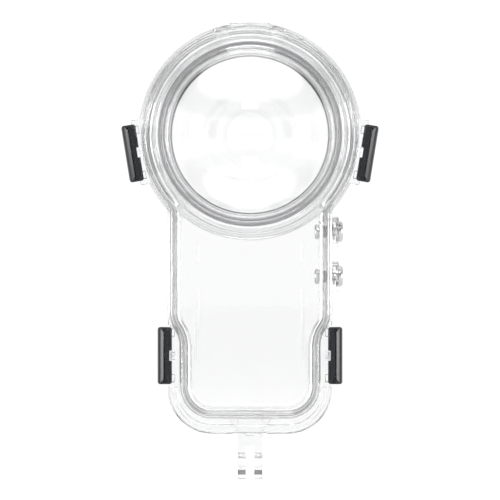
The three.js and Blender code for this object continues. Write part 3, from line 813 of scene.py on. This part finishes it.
INSIDE_FACE = 12.0  # depth of the raised details on the rear shell's back wall
RAIL_INNER, RAIL_OUTER, RAIL_SPANS = 19, 20, ((35.4, 62.6), (71.7, 80))
CLIP_INNER, CLIP_OUTER, CLIP_SPAN = 20.6, 22.7, (36.5, 42.8)


def camera_rails():
    parts = []
    for side, _ in SIDES:
        bars = [(RAIL_INNER, RAIL_OUTER, span) for span in RAIL_SPANS] + [(CLIP_INNER, CLIP_OUTER, CLIP_SPAN)]
        for inner, outer, (low, high) in bars:
            near, far = facing_span(side, inner, outer)
            parts.append(block((near, INSIDE_FACE, low), (far, CAVITY_DEPTH + SUNK, high), EDGE))
    return parts


def cradle():
    """The low rim that holds the camera's lower end."""
    return u_rail(CRADLE, CRADLE_WIDTH, INSIDE_FACE, CAVITY_DEPTH + SUNK, 0.45)


ROOT_TOP = 15.8
GUSSET_REACH, GUSSET_LOW, GUSSET_TOP, GUSSET_NEAR, GUSSET_FAR = 4, 9.6, 15.9, 2.8, 6.8
FOOT_CUT = 10  # half the length of the cutters that make the foot's slot and hole


def foot():
    half_width = FINGER_GAP / 2 + FINGER
    ear = arc((0, 0), FOOT_RADIUS, 180, 360, 32) + [(FOOT_RADIUS, FOOT_TOP), (-FOOT_RADIUS, FOOT_TOP)]
    ears = prism(ear, -half_width, half_width, "yz", 0.35, 3)
    root = block((-half_width, FACE_GAP, FOOT_TOP - 0.7), (half_width, FOOT_RADIUS, ROOT_TOP), EDGE)
    slot = block((-FINGER_GAP / 2, -FOOT_CUT, -FOOT_CUT), (FINGER_GAP / 2, FOOT_CUT, FOOT_SLOT_TOP))
    hole = turned([(0, -FOOT_CUT), (FOOT_HOLE, -FOOT_CUT), (FOOT_HOLE, FOOT_CUT), (0, FOOT_CUT)],
                  (0, 0, 0), "x", 48)
    gussets = []
    for side, _ in SIDES:
        root_x, tip_x = side * (half_width - SUNK), side * (half_width + GUSSET_REACH)
        outline = [(root_x, GUSSET_LOW), (tip_x, GUSSET_TOP), (root_x, GUSSET_TOP)]
        gussets.append(prism(outline, GUSSET_NEAR, GUSSET_FAR, "xz", 0.15))
    solid = boolean(boolean(ears, root, "UNION"), merged(gussets), "UNION")
    return boolean(boolean(solid, slot, "DIFFERENCE"), hole, "DIFFERENCE")


BUTTONS = {level: (box_mm(f"button_plunger_{level}")[0].z + box_mm(f"button_plunger_{level}")[1].z) / 2
           for level in ("upper", "lower")}


def boss(z):
    return turned([(0, BOSS_ROOT), (BOSS_RADIUS, BOSS_ROOT), (BOSS_RADIUS, BOSS_FACE - 0.4),
                   (BOSS_RADIUS - 0.4, BOSS_FACE), (0, BOSS_FACE)], (0, BUTTON_Y, z), "x", 48)


def boss_bore(z):
    return turned([(0, BORE_START), (BOSS_BORE, BORE_START), (BOSS_BORE, BOSS_FLOOR),
                   (BOSS_COUNTERBORE, BOSS_FLOOR),
                   (BOSS_COUNTERBORE, BOSS_FACE + OVER), (0, BOSS_FACE + OVER)], (0, BUTTON_Y, z), "x", 40)


def rear_shell():
    pads = latch_parts(lambda side: latch_pad(side, *facing_span(1, FACE_GAP, FLANGE_DEPTH)), "upper")
    tab = block((-PRY_HALF_TAB, TAB_ROOT, TAB_LOW), (PRY_HALF_TAB, FLANGE_DEPTH, PRY_TAB_TOP), EDGE)
    bosses = [boss(z) for z in BUTTONS.values()]
    body = with_parts(shell_body(1, REAR_GROOVE), [*pads, *camera_rails(), *bosses, tab, foot()],
                      [cradle(), flange_bead(1)], [corner_ribs(1)])
    body = boolean(body, merged(latch_parts(latch_bay, "lower")), "DIFFERENCE")
    body = with_parts(body, latch_parts(latch_lug_pair, ""))
    holes = [boss_bore(z) for z in BUTTONS.values()] + latch_parts(latch_lug_hole, "")
    return boolean(body, merged(holes), "DIFFERENCE")


# ---- domes, their rings and the seals ----


def dome(facing):
    def skin(radius, from_depth):
        start = math.degrees(math.asin((from_depth - DOME_CENTRE_DEPTH) / radius))
        points = arc((0, DOME_CENTRE_DEPTH), radius, start, 90, 28)
        return [(r if r > NEAR_ZERO else 0.0, d) for r, d in points]

    outside = skin(DOME_OUTER, DOME_FOOT_FAR + 0.4)
    inside = skin(DOME_INNER, DOME_FOOT_NEAR)
    foot_edge = [(DOME_FOOT_RADIUS - 0.2, DOME_FOOT_FAR), (DOME_FOOT_RADIUS, DOME_FOOT_FAR - 0.2),
                 (DOME_FOOT_RADIUS, DOME_FOOT_NEAR + 0.2), (DOME_FOOT_RADIUS - 0.2, DOME_FOOT_NEAR)]
    root = [(outside[0][0] + 0.15, DOME_FOOT_FAR + 0.1), (outside[0][0] + 0.5, DOME_FOOT_FAR)]
    profile = list(reversed(outside)) + root + foot_edge + inside
    return turned([(r, facing * d) for r, d in profile], (0, 0, RING_Z), "y", 128)


def dome_ring(facing):
    top, under, seat = RING_DEPTH, DRUM_DEPTH, SEAT_RADIUS - PART_GAP
    inner = DOME_RING_INNER
    profile = [(inner, under), (seat, under), (seat, under + PART_GAP),
               (DRUM_RADIUS - 0.15, under + PART_GAP), (DRUM_RADIUS, under + PART_GAP + 0.15),
               (DRUM_RADIUS, top - 0.75), (DRUM_RADIUS - 0.25, top - 0.3),
               (DRUM_RADIUS - 0.8, top), (inner + 0.8, top), (inner + 0.3, top - 0.2), (inner, top - 0.6)]
    return turned([(r, facing * d) for r, d in profile], (0, 0, RING_Z), "y", 128)


def dome_seal(facing):
    inner, outer, near, far = DOME_SEAL_INNER, DOME_SEAL_OUTER, DOME_SEAL_NEAR, DOME_SEAL_FAR
    profile = [(inner, near + 0.2), (inner + 0.2, near), (outer - 0.2, near), (outer, near + 0.2),
               (outer, far - 0.2), (outer - 0.2, far), (inner + 0.2, far), (inner, far - 0.2)]
    return turned([(r, facing * d) for r, d in profile], (0, 0, RING_Z), "y", 96)


def main_seal():
    corners = [
        (WALL, SEAL_INNER, SEAL_FRONT, SEAL_ROUND, DOWN, OUT, None),
        (WALL, SEAL_OUTER, SEAL_FRONT, SEAL_ROUND, OUT, UP, None),
        (WALL, SEAL_OUTER, SEAL_REAR, SEAL_ROUND, UP, IN, None),
        (WALL, SEAL_INNER, SEAL_REAR, SEAL_ROUND, IN, DOWN, None),
    ]
    return loft(section_rings(corners, 1))


# ---- buttons ----


PLUNGER_TIP, CAP_NEAR, CAP_FAR = 25.2, 31.7, 34.3


def plunger(z):
    tip, near, far = PLUNGER_TIP, CAP_NEAR, CAP_FAR
    profile = [(0, tip), (SHAFT_RADIUS - 0.2, tip), (SHAFT_RADIUS, tip + 0.2), (SHAFT_RADIUS, near),
               (CAP_RADIUS - 0.3, near), (CAP_RADIUS, near + 0.3), (CAP_RADIUS, far - 0.8),
               (CAP_RADIUS - 0.25, far - 0.3), (CAP_RADIUS - 0.8, far), (CAP_RADIUS - 1.5, far),
               (CAP_RADIUS - 1.9, far - 0.3), (0, far - 0.45)]
    return turned(profile, (0, BUTTON_Y, z), "x", 48)


SPRING_TURNS, SPRING_RADIUS, SPRING_WIRE, STEPS_PER_TURN, WIRE_SIDES = 2, 3.0, 0.22, 28, 10


def coil(z):
    turns, radius, wire = SPRING_TURNS, SPRING_RADIUS, SPRING_WIRE
    start, stop = BOSS_FLOOR + PART_GAP + wire, CAP_NEAR - PART_GAP - wire
    bm = bmesh.new()
    rows = []
    steps = turns * STEPS_PER_TURN
    for i in range(steps + 1):
        t = i / steps
        a = 2 * math.pi * turns * t
        x = start + (stop - start) * t
        centre = Vector((x, BUTTON_Y + radius * math.cos(a), z + radius * math.sin(a)))
        out = Vector((0, math.cos(a), math.sin(a)))
        rows.append([bm.verts.new(centre + wire * (out * math.cos(b) + Vector((math.sin(b), 0, 0))))
                     for b in (2 * math.pi * k / WIRE_SIDES for k in range(WIRE_SIDES))])
    for a, b in zip(rows, rows[1:]):
        for k in range(WIRE_SIDES):
            j = (k + 1) % WIRE_SIDES
            bm.faces.new((a[k], a[j], b[j], b[k]))
    bm.faces.new(rows[0])
    bm.faces.new(reversed(rows[-1]))
    return bm


def o_ring(z):
    inner, outer, low, high, edge = SHAFT_RADIUS + 0.05, BOSS_BORE - 0.05, 27.1, 28.5, 0.12
    profile = [(inner, low + edge), (inner + edge, low), (outer - edge, low), (outer, low + edge),
               (outer, high - edge), (outer - edge, high), (inner + edge, high), (inner, high - edge)]
    return turned(profile, (0, BUTTON_Y, z), "x", 32)


def retaining_clip(z):
    inner, outer = SHAFT_RADIUS + 0.05, 2.6
    profile = [(inner, 25.9), (outer - 0.1, 25.9), (outer, 26.0), (outer, 26.3),
               (outer - 0.1, 26.4), (inner, 26.4)]
    return turned(profile, (0, BUTTON_Y, z), "x", 32)


def button_foot(z):
    inner = SHAFT_RADIUS + PART_GAP
    profile = [(0, 23.9), (2.1, 23.9), (2.3, 23.95), (2.75, 24.35), (2.8, 24.5), (2.8, 25.45), (2.65, 25.6),
               (inner, 25.6), (inner, 24.9), (0, 24.9)]
    return turned(profile, (0, BUTTON_Y, z), "x", 40)


# ---- the pieces ----

finished("clear_rear_shell", rear_shell(), "rear_case", CLEAR, ["rear_shell"])
finished("clear_front_shell", front_shell(), "front_cover", CLEAR, ["front_shell"])
finished("silicone_main_seal", main_seal(), "rear_case", SILICONE, ["main_seal"])

for facing, side_name, body in ((-1, "front", "front_cover"), (1, "rear", "rear_case")):
    finished(f"clear_{side_name}_dome", dome(facing), body, DOME_CLEAR,
             [f"{side_name}_dome"])
    finished(f"clear_{side_name}_dome_ring", dome_ring(facing), body, CLEAR,
             [f"{side_name}_dome_ring"])
    finished(f"silicone_{side_name}_dome_seal", dome_seal(facing), body, GREY_SILICONE,
             [f"{side_name}_dome_seal"])

for name in LATCH_NAMES:
    side, place = hinge_frame(name)
    finished(f"black_latch_{name}", placed(latch_body(side), place), f"{name}_latch", BLACK,
             [f"latch_{name}"])
    finished(f"steel_latch_pin_{name}", placed(latch_pin(side), place), "rear_case", STEEL,
             [f"latch_pin_{name}"])

for level, z in BUTTONS.items():
    moving = f"{level}_button"
    finished(f"steel_plunger_{level}", plunger(z), moving, STEEL, [f"button_plunger_{level}"])
    spring = finished(f"steel_spring_{level}", coil(z), "rear_case", STEEL,
                      [f"button_spring_{level}"])
    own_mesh(spring)
    finished(f"rubber_o_ring_{level}", o_ring(z), moving, RUBBER, [f"button_o_ring_{level}"])
    finished(f"steel_clip_{level}", retaining_clip(z), moving, STEEL, [f"button_clip_{level}"])
    finished(f"steel_foot_{level}", button_foot(z), moving, STEEL, [f"button_foot_{level}"])


# ---- studio, in metres ----

MIDDLE_HEIGHT = 0.077


FLOOR_RADIUS, FLOOR_GAP = 8.0, 0.0006  # metres; the gap is between the foot and the floor


def floor():
    bm = bmesh.new()
    bmesh.ops.create_circle(bm, cap_ends=True, radius=FLOOR_RADIUS, segments=96)
    mesh = bpy.data.meshes.new("studio_floor")
    bm.to_mesh(mesh)
    bm.free()
    plane = bpy.data.objects.new("studio_floor", mesh)
    plane.location.z = cad_box[0].z - FLOOR_GAP
    bpy.context.scene.collection.objects.link(plane)
    material, _, shader, _ = new_material("pale_floor")
    shader.inputs["Base Color"].default_value = (0.93, 0.93, 0.93, 1)
    shader.inputs["Roughness"].default_value = 0.6
    mesh.materials.append(material)


def softbox(name, location, target, size, power):
    light = bpy.data.lights.new(name, "AREA")
    light.shape, light.size, light.size_y, light.energy = "RECTANGLE", size[0], size[1], power
    lamp = bpy.data.objects.new(name, light)
    lamp.location = location
    lamp.rotation_euler = (Vector(target) - Vector(location)).to_track_quat("-Z", "Y").to_euler()
    lamp.visible_camera = False
    bpy.context.scene.collection.objects.link(lamp)


def world(horizon, band, zenith):
    """A pale sky, bright behind the object and overhead, with a darker band between that draws its edges."""
    scene = bpy.context.scene
    scene.world = bpy.data.worlds.new("studio_world")
    scene.world.use_nodes = True
    tree = scene.world.node_tree
    direction = tree.nodes.new("ShaderNodeTexCoord")
    parts = tree.nodes.new("ShaderNodeSeparateXYZ")
    tree.links.new(direction.outputs["Generated"], parts.inputs["Vector"])
    ramp = tree.nodes.new("ShaderNodeValToRGB").color_ramp
    stops = ((0.0, horizon), (0.28, horizon), (0.4, band), (0.62, band), (0.72, zenith))
    while len(ramp.elements) < len(stops):
        ramp.elements.new(1.0)
    for element, (height, strength) in zip(ramp.elements, stops):
        element.position = height
        element.color = (strength, strength, strength, 1)
    tree.links.new(parts.outputs["Z"], tree.nodes["Color Ramp"].inputs["Fac"])
    tree.links.new(tree.nodes["Color Ramp"].outputs["Color"], tree.nodes["Background"].inputs["Color"])


def camera(distance, view_width):
    """A camera level with the housing's middle that looks straight at its front."""
    centre = Vector((0.0, 0.0, MIDDLE_HEIGHT))
    data = bpy.data.cameras.new("camera")
    data.sensor_width = 36
    data.lens = data.sensor_width * distance / view_width
    data.clip_end = 50
    cam = bpy.data.objects.new("camera", data)
    cam.location = centre + Vector((0, -distance, 0))
    cam.rotation_euler = (math.radians(90), 0, 0)
    bpy.context.scene.collection.objects.link(cam)
    bpy.context.scene.camera = cam


LIGHT_TARGET = (0, 0, 0.08)
BOUNCES = 24  # light passes through many walls of the clear housing

floor()
world(horizon=1.06, band=0.3, zenith=1.65)
softbox("key_softbox", (0, -1.1, 1.1), LIGHT_TARGET, (0.5, 0.5), power=5)
for side, name in SIDES:
    softbox(f"{name}_softbox", (side * 0.91, -0.28, 0.08), LIGHT_TARGET, (0.3, 0.7), power=6.0)
camera(distance=2.5, view_width=0.184)
scene = bpy.context.scene
scene.view_settings.view_transform = "Standard"
scene.cycles.max_bounces = BOUNCES
scene.cycles.transmission_bounces = BOUNCES
